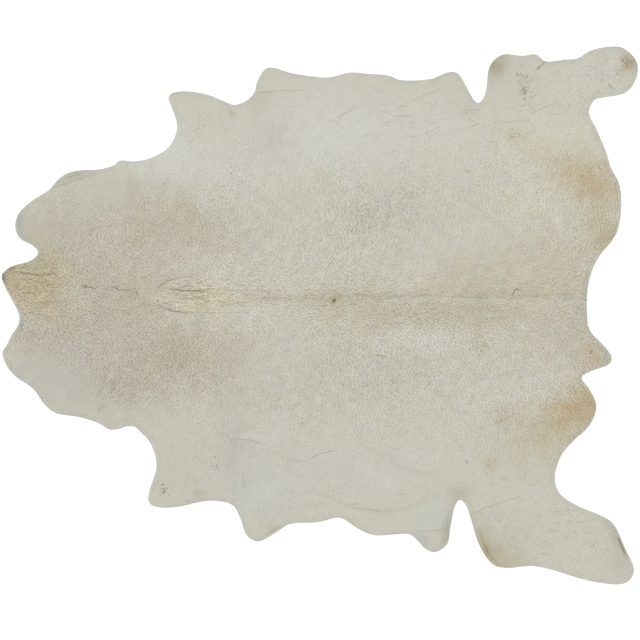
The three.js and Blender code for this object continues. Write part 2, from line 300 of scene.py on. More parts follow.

# Fine marks strewn over soft ovals: how many, how long, which way they run and how far that swings.
# Wrinkles have a depth, and their tint is partly painted shade in the trough. The pale wrinkles on the
# hump are painted highlights. The others are only hairs of another colour.
Marks = namedtuple(
    "Marks", "place x y along across turn count length heading swing tint share depth", defaults=(0,)
)
MARKS = read_table(Marks, (
    ("neck wrinkles", -960, 130, 80, 34, 0, 22, 30, -3, 8, "crease", 24, 3),
    ("neck, pale wrinkles", -960, 120, 80, 40, 0, 10, 30, -3, 8, "hump_yellow", 65),
    ("neck curls", -915, 109, 55, 22, 0, 40, 9, -20, 40, "crease_olive", 65),
    ("neck streaks", -960, 105, 90, 75, 0, 90, 12, -3, 12, "crease_olive", 42),
    ("neck, pale streaks", -960, 105, 90, 75, 0, 100, 14, -3, 12, "hump_yellow", 80),
    ("neck flecks", -950, 90, 100, 90, 0, 70, 4, 0, 60, "crease", 50),
    ("nape specks", -740, 92, 80, 16, 0, 34, 7, 10, 50, "crease", 80),
    ("hump wrinkles", -430, 65, 110, 46, 0, 44, 30, 0, 9, "crease", 26, 3),
    ("hump, fine hairs", -430, 65, 120, 50, 0, 110, 12, 0, 14, "crease", 34),
    ("hump, pale wrinkles", -420, 62, 100, 40, 0, 34, 32, 0, 8, "pale", 55),
    ("back wisps", 320, 66, 480, 20, 0, 80, 28, 0, 12, "crease_olive", 16),
    ("back, pale wisps", 350, 47, 420, 16, 0, 24, 34, 0, 10, "pale", 43),
    ("back flecks", 200, 45, 550, 60, 0, 120, 8, 0, 40, "crease", 36),
    ("whorl wisps", 49, 50, 20, 16, 0, 14, 8, 0, 60, "crease_olive", 65),
    ("shoulder flecks", -560, 100, 260, 270, 0, 160, 6, 60, 60, "crease", 36),
    ("cheek wrinkles", -860, 380, 80, 70, 0, 16, 22, 30, 40, "flap_grey", 16, 4),
    ("cheek flecks", -860, 360, 110, 80, 0, 50, 5, 60, 60, "crease", 30),
    ("flap specks", -815, 474, 35, 6, 17, 9, 4, 0, 60, "crease", 75),
    ("upper arm specks", -300, 560, 110, 70, 0, 11, 5, 50, 60, "crease", 100),
    ("upper arm scratches", -370, 630, 90, 55, 0, 18, 14, 40, 25, "crease", 50),
    ("upper elbow lines", -150, 600, 40, 25, 0, 8, 30, 90, 6, "flap_grey", 16, 4),
    ("upper belly specks", 200, 610, 260, 80, 0, 10, 4, 45, 60, "crease", 72),
    ("upper belly wrinkles", 250, 665, 200, 70, 0, 40, 30, 8, 16, "flap_grey", 10, 4),
    ("upper thigh wrinkles", 680, 680, 140, 90, 0, 34, 26, 12, 24, "flap_grey", 18, 4),
    ("upper thigh scratches", 720, 690, 120, 70, 0, 12, 12, 30, 50, "crease", 30),
    ("upper thigh spots", 651, 608, 36, 24, -20, 26, 5, 0, 60, "rust", 70),
    ("upper rump trail spots", 745, 535, 80, 40, -34, 26, 5, 0, 60, "rust", 38),
    ("upper shank wrinkles", 900, 800, 140, 60, 8, 34, 22, 20, 45, "flap_grey", 24, 4),
    ("upper shank scratches", 920, 800, 110, 55, 8, 14, 9, 60, 60, "crease", 30),
    ("upper shank scars", 682, 774, 20, 48, 10, 44, 10, 70, 60, "crease", 55, 4),
    ("upper shank notch", 738, 829, 30, 6, 45, 7, 9, 50, 20, "crease", 60),
    ("upper shank line", 962, 776, 34, 6, -38, 9, 10, -38, 20, "crease", 61),
    ("upper hoof end", 1030, 851, 16, 14, 0, 14, 8, 50, 40, "crease_olive", 90, 4),
    ("upper rump patch", 882, 456, 110, 64, -24, 150, 5, 20, 60, "rust", 28),
    ("lower rump patch", 845, -323, 125, 60, 37, 150, 5, 30, 60, "rust", 26),
    ("lower loin spots", 621, -340, 50, 44, 0, 44, 5, 30, 60, "rust", 60),
    ("lower thigh spots", 574, -498, 34, 28, 0, 22, 5, 30, 60, "rust", 58),
    ("loin specks", 545, -100, 40, 30, 0, 22, 6, -30, 40, "crease", 80),
    ("upper loin specks", 540, 200, 26, 24, 0, 5, 7, 40, 30, "crease", 80),
    ("flank flecks", 150, -200, 420, 160, 0, 90, 7, 90, 16, "crease", 43),
    ("upper flank flecks", 150, 340, 420, 120, 0, 90, 7, 90, 16, "crease", 41),
    ("lower arm specks", -420, -500, 120, 90, 0, 18, 6, 60, 50, "crease", 95),
    ("lower arm cluster", -347, -505, 18, 12, 40, 10, 8, 40, 30, "crease", 95),
    ("lower fore leg cluster", -524, -584, 20, 14, -40, 18, 9, 70, 50, "crease", 100),
    ("lower arm lines", -255, -560, 26, 20, 0, 10, 55, 90, 3, "flap_grey", 10, 4),
    ("lower belly wrinkles", 130, -600, 220, 70, 0, 26, 30, 0, 16, "flap_grey", 10, 3),
    ("lower stifle wrinkles", 640, -640, 100, 100, 0, 26, 24, 20, 30, "flap_grey", 22, 4),
    ("lower shank wrinkles", 900, -720, 150, 100, 0, 40, 24, -25, 30, "flap_grey", 24, 4),
    ("lower shank scratches", 880, -700, 150, 100, 0, 14, 9, -25, 50, "crease", 20),
    ("lower brisket strands", -690, -245, 90, 55, 0, 46, 22, 48, 16, "crease", 26, 3),
))

# How far the belt of long coarse hair reaches from the line of the back, from neck to rump.
Belt = namedtuple("Belt", "x reach")
BELT = read_table(Belt, (
    (-1050, 130),
    (-900, 170),
    (-600, 330),
    (-200, 400),
    (300, 400),
    (700, 470),
    (1000, 470),
))

# Places where the hair is coarser than the belt makes it, or finer where the share is below zero.
Coarse = namedtuple("Coarse", "place x y along across share")
COARSE = read_table(Coarse, (
    ("neck end", -960, 110, 80, 80, 5),
    ("upper cheek", -850, 360, 100, 80, 40),
    ("upper shoulder", -451, 290, 130, 90, -25),
    ("lower shoulder", -470, -130, 160, 100, 30),
    ("lower brisket", -640, -270, 110, 70, 35),
    ("upper middle", -130, 280, 180, 130, -45),
    ("lower middle", -180, -150, 180, 170, -75),
    ("upper loin", 450, 200, 250, 160, -85),
    ("upper flank", 180, 330, 160, 80, 40),
    ("lower loin", 470, -220, 180, 120, -30),
    ("upper rump", 750, 280, 200, 200, -26),
    ("lower rump", 720, -80, 200, 180, -28),
    ("upper rump patch", 880, 460, 110, 80, -10),
    ("lower rump patch", 845, -323, 120, 80, -10),
    ("upper hind shank", 930, 800, 160, 90, 20),
    ("lower hind leg", 830, -680, 240, 160, 18),
))

# Places where the coat lies another way than down from the back: its heading from +X towards +Y.
Lay = namedtuple("Lay", "place x y along across heading share")
LAYS = read_table(Lay, (
    ("rump", 720, 60, 220, 160, 0, 80),
    ("upper hind shank", 950, 820, 200, 200, 25, 90),
    ("lower hind shank", 950, -800, 200, 200, -30, 90),
    ("upper rump", 850, 350, 180, 180, 40, 50),
    ("lower rump", 850, -250, 180, 180, -40, 50),
    ("upper cheek", -900, 420, 140, 140, 150, 60),
    ("lower cheek", -930, -200, 140, 140, 200, 60),
    ("lower brisket", -690, -250, 130, 90, 228, 85),
))

# Places where the hair curls: how far it turns out of its lay there, and how much shorter it is.
Curl = namedtuple("Curl", "place x y along across turn shorter")
CURLS = read_table(Curl, (
    ("shoulders", -560, 85, 300, 300, 75, 45),
    ("rump", 760, 80, 240, 420, 25, 15),
    ("neck", -930, 105, 110, 90, 10, 20),
))

# Soft unevenness of the coat: its length, what it adds to red, green and blue, and its seed.
Mottle = namedtuple("Mottle", "length red green blue seed")
MOTTLES = read_table(Mottle, (
    (130, 5, 7, 10, 41),
    (45, 12, 14, 18, 42),
    (16, 9, 10, 11, 43),
    (110, 3, 1, -5, 44),
    (60, -3, 4, -2, 46),
))


# Settings that a user may change

def display_colour(red, green, blue):
    """A colour given as a screen shows it, 0 to 255, as the linear values that shaders use."""
    shares = [channel / 255 for channel in (red, green, blue)]
    return tuple(s / 12.92 if s <= 0.04045 else ((s + 0.055) / 1.055) ** 2.4 for s in shares)


def colour_property(label, text, *shown):
    """A colour that a user may change."""
    return bpy.props.FloatVectorProperty(
        name=label, description=text, subtype="COLOR", size=3, min=0, max=1, default=display_colour(*shown)
    )


def number_property(label, text, value, **kind):
    """A number that a user may change."""
    return bpy.props.FloatProperty(name=label, description=text, default=value, **kind)


def length_property(label, text, metres):
    """A length that a user may change."""
    return number_property(label, text, metres, subtype="DISTANCE", unit="LENGTH", min=0, precision=4)


class COWHIDE_PG_skin(bpy.types.PropertyGroup):
    """Sizes of the tanned skin."""

    length: length_property("Length", "Longest reach, neck to hoof end", HIDE_HIGH.x - HIDE_LOW.x)
    width: length_property("Width", "Widest reach across the back", HIDE_HIGH.y - HIDE_LOW.y)
    cut_edge: length_property("Cut edge", "Thickness of the skin at its trimmed edge", 0.0016)
    edge_reach: length_property(
        "Edge reach", "How far in from the edge the skin gets its full thickness", 0.016
    )
    least: length_property("Least thickness", "Thinnest that a crease leaves the skin", 0.0009)
    mesh_step: length_property("Mesh step", "Spacing of the mesh on open skin", 0.009)
    crease_step: length_property("Crease step", "Spacing of the mesh beside creases", 0.0024)
    under_step: length_property("Underside step", "Spacing of the mesh on the flat flesh side", 0.050)
    buckle: length_property("Buckle", "Height of the gentle unevenness of the dried skin", 0.0003)


class COWHIDE_PG_hair(bpy.types.PropertyGroup):
    """Sizes of the hair."""

    spacing: length_property("Spacing", "Distance between the roots of neighbouring tufts", 0.0041)
    back_length: length_property("Length on the back", "Length of a tuft on the back", 0.0085)
    belly_length: length_property("Length on the belly", "Length of a tuft on belly and legs", 0.0065)
    back_width: length_property("Width on the back", "Width of a tuft on the back", 0.0021)
    belly_width: length_property("Width on the belly", "Width of a tuft on belly and legs", 0.0012)
    back_pile: length_property("Pile on the back", "Height of the coat above the skin on the back", 0.0015)
    belly_pile: length_property("Pile on the belly", "Height of the coat on belly and legs", 0.0006)
    overhang: length_property("Overhang", "Most that hair reaches past the cut edge", 0.0018)


class COWHIDE_PG_colours(bpy.types.PropertyGroup):
    """Colours of the coat and the flesh side."""

    cream: colour_property("Cream", "Ground colour of the coat", 199, 196, 183)
    # Also the painted highlight on ridges and the lips of folds.
    pale: colour_property("Pale", "Palest hair, on the upper belly", 206, 206, 197)
    pale_grey: colour_property("Pale grey", "Cool pale hair on the lower arm", 193, 194, 183)
    belly_grey: colour_property("Belly", "Cool pale hair on the lower belly", 197, 195, 184)
    lilac_grey: colour_property("Lilac grey", "Cool shade on the arms", 186, 183, 173)
    cheek_grey: colour_property("Cheek grey", "Cool grey of the cheeks", 187, 185, 177)
    flank_grey: colour_property("Flank grey", "Grey of the flanks", 193, 191, 178)
    shoulder: colour_property("Shoulder", "Grey-brown of the shoulders", 185, 179, 164)
    front_grey: colour_property("Front", "Grey-brown of neck and cheeks", 179, 173, 159)
    shoulder_brown: colour_property("Shoulder brown", "Browner hair on shoulders and loin", 178, 170, 150)
    back_olive: colour_property("Back", "Olive cast along the back", 190, 184, 162)
    olive: colour_property("Olive", "Olive shade at edges and round the tan patches", 182, 175, 148)
    # Also the painted highlight on the pale ridge beside the neck's long wrinkle.
    hump_yellow: colour_property("Hump", "Yellowish hair on the hump", 204, 196, 166)
    rump: colour_property("Rump", "Warm grey of the rump", 190, 185, 167)
    thigh_cream: colour_property("Thigh", "Yellowish cream of the upper thigh", 204, 202, 183)
    tan: colour_property("Tan", "Tan patches", 187, 170, 137)
    deep_tan: colour_property("Deep tan", "Darkest of the tan patches", 172, 150, 113)
    neck_olive: colour_property("Neck", "Golden brown of the neck", 194, 182, 154)
    pink_grey: colour_property("Pink grey", "Pinkish grey beside the nape and on the flank", 194, 185, 172)
    loin_tan: colour_property("Loin", "Tan cast of the loin", 188, 178, 155)
    # Painted shade in greenish grey: the turned flap at the cheek, dark rims, bands beside folds, wrinkles.
    flap_grey: colour_property("Flap", "Greenish grey of the turned flap and dark rims", 166, 164, 148)
    # Painted shade in a cool grey, where the rim turns away from the light.
    rim_grey: colour_property("Rim", "Cool grey where the rim turns away", 172, 172, 170)
    rust: colour_property("Rust", "Small rusty spots", 138, 112, 74)
    # Dark of creases: partly their darker hair, partly painted shade in the trough; also scars, specks and
    # scratches.
    crease: colour_property("Crease", "Hair in a crease or scar", 112, 104, 88)
    whorl_dark: colour_property("Whorl", "Dark middle of the whorl on the back", 52, 46, 34)
    hoof_brown: colour_property("Hoof end", "Olive brown stain at the end of the leg", 158, 138, 98)
    # Where it darkens a crease it is partly painted shade in the trough.
    crease_olive: colour_property("Olive crease", "Yellow-brown hair in a crease", 140, 122, 82)
    # Painted shade along the cut edge, where the skin turns down: the coat is multiplied by it near the
    # rim.
    edge: colour_property("Edge", "What the coat is multiplied by along the cut edge", 231, 240, 245)
    suede: colour_property("Suede", "Flesh side", 196, 180, 152)
    back_gain: number_property(
        "Back gain", "Makes up for the shade between the hairs on the back", 1.06, min=0.1
    )
    belly_gain: number_property(
        "Belly gain", "Makes up for the shade between the hairs on the belly", 0.958, min=0.1
    )


class COWHIDE_PG_stage(bpy.types.PropertyGroup):
    """Camera, floor and light."""

    frame_width: length_property("Frame width", "Width of the picture at the hide", 2.144)
    view_x: number_property("View X", "Middle of the view along the back", 0.0008, unit="LENGTH")
    view_y: number_property("View Y", "Middle of the view across the back", -0.0151, unit="LENGTH")
    lens: number_property("Lens", "Focal length", 70, unit="CAMERA", min=10)
    floor_size: length_property("Floor", "Side of the floor", 300)
    floor: colour_property("Floor colour", "Colour of the pale floor", 245, 245, 244)
    sky: number_property("Sky", "Strength of the light from all round", 0.62, min=0)
    key: number_property("Key", "Strength of the main light", 1.93, min=0)
    key_spread: number_property(
        "Key spread", "Softness of the main light", math.radians(35), subtype="ANGLE"
    )


class COWHIDE_PG_settings(bpy.types.PropertyGroup):
    """All settings of the rug."""

    skin: bpy.props.PointerProperty(type=COWHIDE_PG_skin)
    hair: bpy.props.PointerProperty(type=COWHIDE_PG_hair)
    colours: bpy.props.PointerProperty(type=COWHIDE_PG_colours)
    stage: bpy.props.PointerProperty(type=COWHIDE_PG_stage)


# Curves, blends and noise over places on the hide

NOISE_WAVES = 14
WAVE_SPANS = (0.65, 1.5)
LINE_STEP = 0.003
LINE_REACH = 3
LINE_END_SHARE = 0.35
LINE_END_FADE = 0.25
FIRST_MARK_SEED = 101
MARK_SPREAD = 0.6
MARK_BOW = 0.25
MARK_HALF = 0.0013
MARK_LENGTHS = (0.5, 1.4)
MARK_SHARES = (0.35, 1.2)
MARK_WIDTHS = (0.8, 1.3)
NARROW_HALF = 0.0060
BELT_FULL, BELT_END = 0.60, 1.45
BELT_WANDER, BELT_WAVE = 0.05, 0.22
MOST_COARSE = 1.3


def ease(low, high, value):
    """A smooth rise from 0 at low to 1 at high."""
    share = np.clip((value - low) / (high - low), 0, 1)
    return share * share * (3 - 2 * share)


def between(low, high, share):
    """The value a share of the way from low to high."""
    return low + (high - low) * share


def wave_noise(places, length, seed, stretch=(1.0, 1.0)):
    """Smooth noise of about unit size, made of waves of about that length in all directions."""
    draw = np.random.default_rng(seed)
    turns = draw.uniform(0, 2 * math.pi, NOISE_WAVES)
    spans = length * draw.uniform(*WAVE_SPANS, NOISE_WAVES)
    starts = draw.uniform(0, 2 * math.pi, NOISE_WAVES)
    total = np.zeros(len(places))
    for turn, span, start in zip(turns, spans, starts):
        run = places[:, 0] * (math.cos(turn) / stretch[0]) + places[:, 1] * (math.sin(turn) / stretch[1])
        total += np.cos(run * (2 * math.pi / span) + start)
    return total / math.sqrt(NOISE_WAVES / 2)


def oval_share(places, x, y, along, across, turn=0.0):
    """1 in the middle of a soft oval, falling to 0 outside it."""
    angle = math.radians(turn)
    dx, dy = places[:, 0] - x, places[:, 1] - y
    u = (dx * math.cos(angle) + dy * math.sin(angle)) / along
    v = (dy * math.cos(angle) - dx * math.sin(angle)) / across
    return np.exp(-(u * u + v * v))


def spot_share(places, spot):
    """1 in the middle of a table row's oval, falling to 0 outside it."""
    return oval_share(places, spot.x, spot.y, spot.along, spot.across)


def soft_line(points):
    """Places a few millimetres apart on a smooth curve through the points."""
    ends = np.array([points[0], *points, points[-1]], float)
    runs = []
    for before, start, end, after in zip(ends, ends[1:], ends[2:], ends[3:]):
        steps = max(2, int(np.hypot(*(end - start)) / LINE_STEP))
        t = np.linspace(0, 1, steps, endpoint=False)[:, None]
        bend = 2 * before - 5 * start + 4 * end - after
        twist = 3 * start - before - 3 * end + after
        runs.append(0.5 * (2 * start + (end - before) * t + bend * t**2 + twist * t**3))
    return np.vstack([*runs, ends[-1:]])


def strewn(marks, seed):
    """Each fine mark of a row as a short, slightly bent crease."""
    draw = np.random.default_rng(seed)
    turn = math.radians(marks.turn)
    axes = np.array([[math.cos(turn), math.sin(turn)], [-math.sin(turn), math.cos(turn)]])
    for _ in range(marks.count):
        middle = draw.normal(0, MARK_SPREAD, 2) * (marks.along, marks.across) @ axes + (marks.x, marks.y)
        heading = math.radians(marks.heading + marks.swing * draw.normal())
        way = np.array([math.cos(heading), math.sin(heading)])
        reach = 0.5 * marks.length * draw.uniform(*MARK_LENGTHS)
        bow = MARK_BOW * reach * draw.normal() * np.array([-way[1], way[0]])
        line = (middle - reach * way, middle + bow, middle + reach * way)
        share = marks.share * draw.uniform(*MARK_SHARES)
        half = MARK_HALF * draw.uniform(*MARK_WIDTHS)
        yield Crease(marks.place, half, marks.depth, marks.tint, share, line)


SEEDED_MARKS = enumerate(MARKS, FIRST_MARK_SEED)
FINE_MARKS = tuple(mark for seed, marks in SEEDED_MARKS for mark in strewn(marks, seed))
SKIN_LINES = CREASES + tuple(mark for mark in FINE_MARKS if mark.depth)
HAIR_LINES = CREASES + FINE_MARKS
NARROW_LINES = tuple(line for line in SKIN_LINES if line.half < NARROW_HALF)


def line_shares(lines, places, widened=1):
    """Each of the lines with the places near it and how much of its depth or tint they have."""
    order = np.argsort(places[:, 0], kind="stable")
    sorted_x = places[order, 0]
    for crease in lines:
        line = soft_line(crease.line)
        half = widened * crease.half
        low, high = line.min(0) - LINE_REACH * half, line.max(0) + LINE_REACH * half
        first, last = np.searchsorted(sorted_x, (low[0], high[0]))
        found = order[first:last]
        found = found[(places[found, 1] > low[1]) & (places[found, 1] < high[1])]
        if len(found) == 0:
            continue
        apart = np.hypot(places[found, 0, None] - line[:, 0], places[found, 1, None] - line[:, 1])
        nearest = apart.argmin(axis=1)
        along = (nearest + 0.5) / len(line)
        fade = between(LINE_END_SHARE, 1, ease(0, LINE_END_FADE, np.minimum(along, 1 - along)))
        yield crease, found, fade * np.exp(-((apart.min(axis=1) / half) ** 2))


def belt_share(places):
    """1 in the belt beside the back, 0 on belly and legs."""
    reach = np.interp(places[:, 0], [belt.x for belt in BELT], [belt.reach for belt in BELT])
    wander = BELT_WANDER * wave_noise(places, BELT_WAVE, seed=31)
    return 1 - ease(BELT_FULL, BELT_END, np.abs(places[:, 1] - BACK_Y) / reach + wander)


def back_share(places):
    """1 where the hair is as long as beside the back, 0 where it is as short as on the belly."""
    share = belt_share(places)
    for coarse in COARSE:
        share += coarse.share * spot_share(places, coarse)
    return np.clip(share, 0, MOST_COARSE)


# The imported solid, measured

GRID_STEP = 0.006
GRID_MARGIN = 0.050
LAST_CELL = 1.001
SOFTEN_CELLS = 2.0
BELL_REACH = 3
MERGE_DIGITS = 6
FLAT = 1e-6
BUCKLE_WAVE = 0.085
TROUGH_SPREAD = 2.4


def merged_solid(node):
    """Vertices and triangles of a CAD node, with the doubles merged."""
    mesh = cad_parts[node].data
    places = np.empty(len(mesh.vertices) * 3)
    mesh.vertices.foreach_get("co", places)
    corners = np.empty(len(mesh.loops), int)
    mesh.loops.foreach_get("vertex_index", corners)
    merged, index = np.unique(places.reshape(-1, 3).round(MERGE_DIGITS), axis=0, return_inverse=True)
    return merged, index.reshape(-1)[corners].reshape(-1, 3)


def rim_of(places, triangles):
    """The outline of the flat underside, as places in order round it."""
    under = triangles[np.all(places[triangles, 2] < FLAT, axis=1)]
    edges = {(a, b) for t in under for a, b in ((t[0], t[1]), (t[1], t[2]), (t[2], t[0]))}
    following = {b: a for a, b in edges if (b, a) not in edges}
    start = min(following)
    loop = [start]
    while following[loop[-1]] != start:
        loop.append(following[loop[-1]])
    return places[loop][:, :2]


def doubled_area(rim):
    """Twice the area inside a rim, above zero where it runs anticlockwise."""
    x, y = rim.T
    return np.dot(x, np.roll(y, -1)) - np.dot(y, np.roll(x, -1))


def soften(grid, cells):
    """The grid blurred by a soft bell of that many cells."""
    reach = int(BELL_REACH * cells)
    bell = np.exp(-0.5 * (np.arange(-reach, reach + 1) / cells) ** 2)
    bell /= bell.sum()
    padded = np.pad(grid, reach, mode="edge")
    rows = np.apply_along_axis(np.convolve, 0, padded, bell, "valid")
    return np.apply_along_axis(np.convolve, 1, rows, bell, "valid")


class HideForm:
    """The hide's outline and the height of its hair side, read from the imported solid."""

    def __init__(self, node):
        solid, triangles = merged_solid(node)
        self.rim = rim_of(solid, triangles)
        self.low = solid.min(0)[:2] - GRID_MARGIN
        self.high = solid.max(0)[:2] + GRID_MARGIN
        shape = np.ceil((self.high - self.low) / GRID_STEP).astype(int) + 1
        xs = self.low[0] + GRID_STEP * np.arange(shape[0])
        ys = self.low[1] + GRID_STEP * np.arange(shape[1])
        places = np.stack(np.meshgrid(xs, ys, indexing="ij"), axis=-1).reshape(-1, 2)
        self.inward = self._distance_in(places).reshape(shape)
        self.top = soften(self._solid_top(solid, triangles, places).reshape(shape), SOFTEN_CELLS)

    def area(self):
        """Flat area inside the outline."""
        return 0.5 * abs(doubled_area(self.rim))

    def _distance_in(self, places):
        nearest = np.full(len(places), np.inf)
        inside = np.zeros(len(places), bool)
        for start, end in zip(self.rim, np.roll(self.rim, -1, axis=0)):
            run = end - start
            offset = places - start
            share = np.clip(offset @ run / (run @ run), 0, 1)
            nearest = np.minimum(nearest, ((offset - share[:, None] * run) ** 2).sum(axis=1))
            if start[1] != end[1]:
                spans = (start[1] > places[:, 1]) != (end[1] > places[:, 1])
                inside ^= spans & (offset[:, 0] < run[0] * offset[:, 1] / run[1])
        return np.where(inside, 1, -1) * np.sqrt(nearest)

    def _solid_top(self, solid, triangles, places):
        tree = BVHTree.FromPolygons([Vector(p) for p in solid], triangles.tolist())
        start = solid[:, 2].max() + GRID_MARGIN
        hits = [tree.ray_cast(Vector((x, y, start)), DOWN)[0] for x, y in places]
        tops = np.array([hit.z if hit else np.nan for hit in hits])
        return np.where(np.isnan(tops), np.nanmin(tops), tops)

    def _read(self, grid, places):
        cells = np.clip((places - self.low) / GRID_STEP, 0, np.array(grid.shape) - LAST_CELL)
        i, j = cells.astype(int).T
        u, v = (cells - cells.astype(int)).T
        low = between(grid[i, j], grid[i + 1, j], u)
        high = between(grid[i, j + 1], grid[i + 1, j + 1], u)
        return between(low, high, v)

    def distance_in(self, places):
        """Distance from the outline, above zero inside it."""
        return self._read(self.inward, places)

    def skin_top(self, places, skin, hair):
        """Height of the skin under the hair."""
        pile = between(hair.belly_pile, hair.back_pile, back_share(places))
        height = self._read(self.top, places) - pile
        height += skin.buckle * wave_noise(places, BUCKLE_WAVE, seed=11)
        for crease, found, share in line_shares(SKIN_LINES, places, TROUGH_SPREAD):
            height[found] -= crease.depth * share
        edge = ease(0, skin.edge_reach, self.distance_in(places))
        return np.maximum(between(skin.cut_edge, height, edge), skin.least)


@functools.cache
def hide_form():
    """The hide's form, measured once."""
    return HideForm("hide")


# The coat's colour and lay

BELLY_MOTTLE, BACK_MOTTLE = 0.45, 1.35
EDGE_SHADE, EDGE_SHADE_REACH = 0.70, 0.0065
EDGE_SHADE_VARIES, EDGE_SHADE_WAVE = 0.3, 0.06
ZONE_WANDER, SMALL_ZONE_WANDER, ZONE_WAVE = 0.016, 0.14, 0.07
LAY_TURNS_FROM, LAY_TURNS_TO = 0.015, 0.190
LAY_BACKWARDS, LAY_STILL_BACKWARDS = 1.0, 0.08
LAY_ASIDE, LAY_FULLY_ASIDE, PARTING_REACH = 0.15, 1.0, 0.04
LAY_WANDER, LAY_WAVE = 0.10, 0.060
BELLY_CURL, BACK_CURL = 0.10, 0.20


def coat_colour(places, form, colours, lines):
    """Linear colour of the coat at each place, with the given lines and painted shade at the cut edge."""
    wander = np.stack([wave_noise(places, ZONE_WAVE, seed) for seed in (51, 52)], axis=1)
    coat = np.tile(np.array(colours.cream), (len(places), 1))
    for zone in ZONES:
        moved = places + min(ZONE_WANDER, SMALL_ZONE_WANDER * min(zone.along, zone.across)) * wander
        share = zone.share * oval_share(moved, zone.x, zone.y, zone.along, zone.across, zone.turn)
        coat = between(coat, np.array(getattr(colours, zone.tint)), share[:, None])
    unevenness = between(BELLY_MOTTLE, BACK_MOTTLE, belt_share(places))
    for mottle in MOTTLES:
        cast = np.array([mottle.red, mottle.green, mottle.blue])
        coat *= 1 + cast * (unevenness * wave_noise(places, mottle.length, mottle.seed))[:, None]
    for crease, found, share in line_shares(lines, places):
        tint = np.array(getattr(colours, crease.tint))
        coat[found] = between(coat[found], tint, crease.share * share[:, None])
    # Painted shade along the cut edge, where the skin turns down; it also makes the coat a little cooler
    # there.
    edge = EDGE_SHADE * (1 + EDGE_SHADE_VARIES * wave_noise(places, EDGE_SHADE_WAVE, seed=47))
    edge *= np.exp(-np.maximum(form.distance_in(places), 0) / EDGE_SHADE_REACH)
    coat *= between(1, np.array(colours.edge), edge[:, None])
    gain = between(colours.belly_gain, colours.back_gain, np.minimum(back_share(places), 1))
    return gain[:, None] * coat


def coat_heading(places):
    """The way the hair lies at each place, in radians from +X."""
    aside = places[:, 1] - BACK_Y
    down = ease(LAY_TURNS_FROM, LAY_TURNS_TO, np.abs(aside))
    backwards = between(LAY_BACKWARDS, LAY_STILL_BACKWARDS, down)
    sideways = np.tanh(aside / PARTING_REACH) * between(LAY_ASIDE, LAY_FULLY_ASIDE, down)
    lie = np.stack([backwards, sideways], axis=1)
    for lay in LAYS:
        way = np.array([math.cos(math.radians(lay.heading)), math.sin(math.radians(lay.heading))])
        lie = between(lie, way, lay.share * spot_share(places, lay)[:, None])
    return np.arctan2(lie[:, 1], lie[:, 0]) + LAY_WANDER * wave_noise(places, LAY_WAVE, seed=61)


def coat_curl(places):
    """How far hairs turn out of the coat's lay, in radians, and the share of their length they keep."""
    turn = between(BELLY_CURL, BACK_CURL, back_share(places))
    kept = np.ones(len(places))
    for curl in CURLS:
        share = spot_share(places, curl)
        turn += math.radians(curl.turn) * share
        kept *= 1 - curl.shorter * share
    return turn, kept


# Meshes from arrays

INSIDE_ONLY = 1
SAME_PLACE = 1e-7
ROW_STEP = math.sqrt(0.75)


def triangle_mesh(name, places, triangles):
    """A mesh of the given triangles."""
    mesh = bpy.data.meshes.new(name)
    mesh.vertices.add(len(places))
    mesh.vertices.foreach_set("co", np.asarray(places, np.float32).ravel())
    mesh.loops.add(triangles.size)
    mesh.loops.foreach_set("vertex_index", triangles.astype(np.int32).ravel())
    mesh.polygons.add(len(triangles))
    mesh.polygons.foreach_set("loop_start", np.arange(0, triangles.size, 3, dtype=np.int32))
    mesh.update(calc_edges=True)
    mesh.validate()
    return mesh


def paint(mesh, colours):
    """Writes the coat's colour at each vertex."""
    shades = np.ones((len(mesh.vertices), 4), np.float32)
    shades[:, :3] = colours
    layer = mesh.color_attributes.new(COAT_COLOUR, "FLOAT_COLOR", "POINT")
    layer.data.foreach_set("color", shades.ravel())


def unwrap_from_above(mesh, places, triangles):
    """A UV map that looks straight down on the piece."""
    low, high = places.min(0)[:2], places.max(0)[:2]
    flat = (places[:, :2] - low) / (high - low)
    layer = mesh.uv_layers.new(name=BAKE_MAP)
    layer.data.foreach_set("uv", flat[triangles.ravel()].astype(np.float32).ravel())


def link_piece(mesh):
    """An object for the mesh, riding on the part's body."""
    piece = bpy.data.objects.new(mesh.name, mesh)
    bpy.context.scene.collection.objects.link(piece)
    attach(piece, "root")
    return piece


def hex_places(low, high, step):
    """Places on an even grid of triangles over a rectangle."""
    rows = np.arange(int((high[1] - low[1]) / (step * ROW_STEP)) + 1)
    columns = np.arange(int((high[0] - low[0]) / step) + 1)
    column, row = np.meshgrid(columns, rows)
    x = low[0] + (column + 0.5 * (row % 2)) * step
    y = low[1] + row * step * ROW_STEP
    return np.stack([x.ravel(), y.ravel()], axis=1)


def fill_outline(rim, inner):
    """Triangles over the outline that use the given inner places. The outline's places come first."""
    points = [Vector(p) for p in np.vstack([rim, inner])]
    made = delaunay_2d_cdt(points, [], [list(range(len(rim)))], INSIDE_ONLY, SAME_PLACE)
    places = np.array([tuple(p) for p in made[0]])
    triangles = np.array(made[2])
    a, b, c = (places[triangles[:, k]] for k in range(3))
    turned = np.cross(b - a, c - a) < 0
    triangles[turned] = triangles[turned][:, ::-1]
    return places, triangles


# Materials

ROUGH_LEAST, ROUGH_MOST = 0.55, 0.85
BUMP_STRENGTH = 0.6


def set_sockets(node, sockets):
    """Sets some of a node's inputs by name."""
    for socket, value in sockets.items():
        node.inputs[socket.replace("_", " ")].default_value = value


def add_node(tree, kind, operation=None, **sockets):
    """A node with its operation and some of its inputs set."""
    node = tree.nodes.new(kind)
    if operation:
        node.operation = operation
    set_sockets(node, sockets)
    return node


